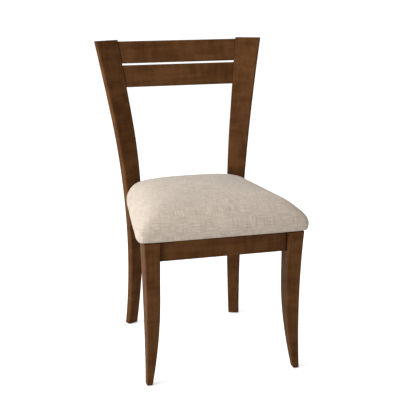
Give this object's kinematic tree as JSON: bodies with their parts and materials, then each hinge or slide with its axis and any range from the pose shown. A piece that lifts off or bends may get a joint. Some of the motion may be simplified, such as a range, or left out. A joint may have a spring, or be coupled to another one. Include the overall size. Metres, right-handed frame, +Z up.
{
  "type": "ladder back chair",
  "caption": "Wooden dining chair with flared, curved back posts, broad back rails parted by a narrow slot, sabre front legs and a crowned, fabric-covered seat.",
  "frame": {"origin": "on the floor under the middle of the chair's bounding box", "axes": "+Z up, -Y towards the front of the seat, +X towards the right-hand side of a viewer who faces the front"},
  "size_m": [0.5206, 0.5333, 0.89],
  "materials": {
    "stained_wood": "satin walnut-brown stain and lacquer",
    "plain_wood": "sawn, unfinished",
    "dowel_wood": "fluted beech, unfinished",
    "panel_wood": "plywood, unfinished",
    "screw_steel": "zinc plated",
    "seat_foam": "open-cell foam",
    "seat_fabric": "heathered linen weave",
    "dust_cloth": "spunbonded cloth",
    "glide_plastic": "moulded nylon"
  },
  "bodies": {
    "root": {"back_post_right": "stained_wood", "back_post_left": "stained_wood", "front_leg_right": "stained_wood", "front_leg_left": "stained_wood", "crest_rail": "stained_wood", "lower_back_rail": "stained_wood", "front_apron": "stained_wood", "rear_apron": "stained_wood", "side_apron_right": "stained_wood", "side_apron_left": "stained_wood", "corner_block_front_right": "plain_wood", "corner_block_front_left": "plain_wood", "corner_block_rear_right": "plain_wood", "corner_block_rear_left": "plain_wood", "crest_rail_dowels": "dowel_wood", "lower_rail_dowels": "dowel_wood", "front_apron_dowels": "dowel_wood", "rear_apron_dowels": "dowel_wood", "side_apron_front_dowels": "dowel_wood", "side_apron_rear_dowels": "dowel_wood", "corner_block_screws": "screw_steel", "seat_screws": "screw_steel", "seat_panel": "panel_wood", "seat_foam": "seat_foam", "seat_cover": "seat_fabric", "dust_cover": "dust_cloth", "glide_front_right": "glide_plastic", "glide_front_left": "glide_plastic", "glide_rear_right": "glide_plastic", "glide_rear_left": "glide_plastic"}
  },
  "joints": []
}
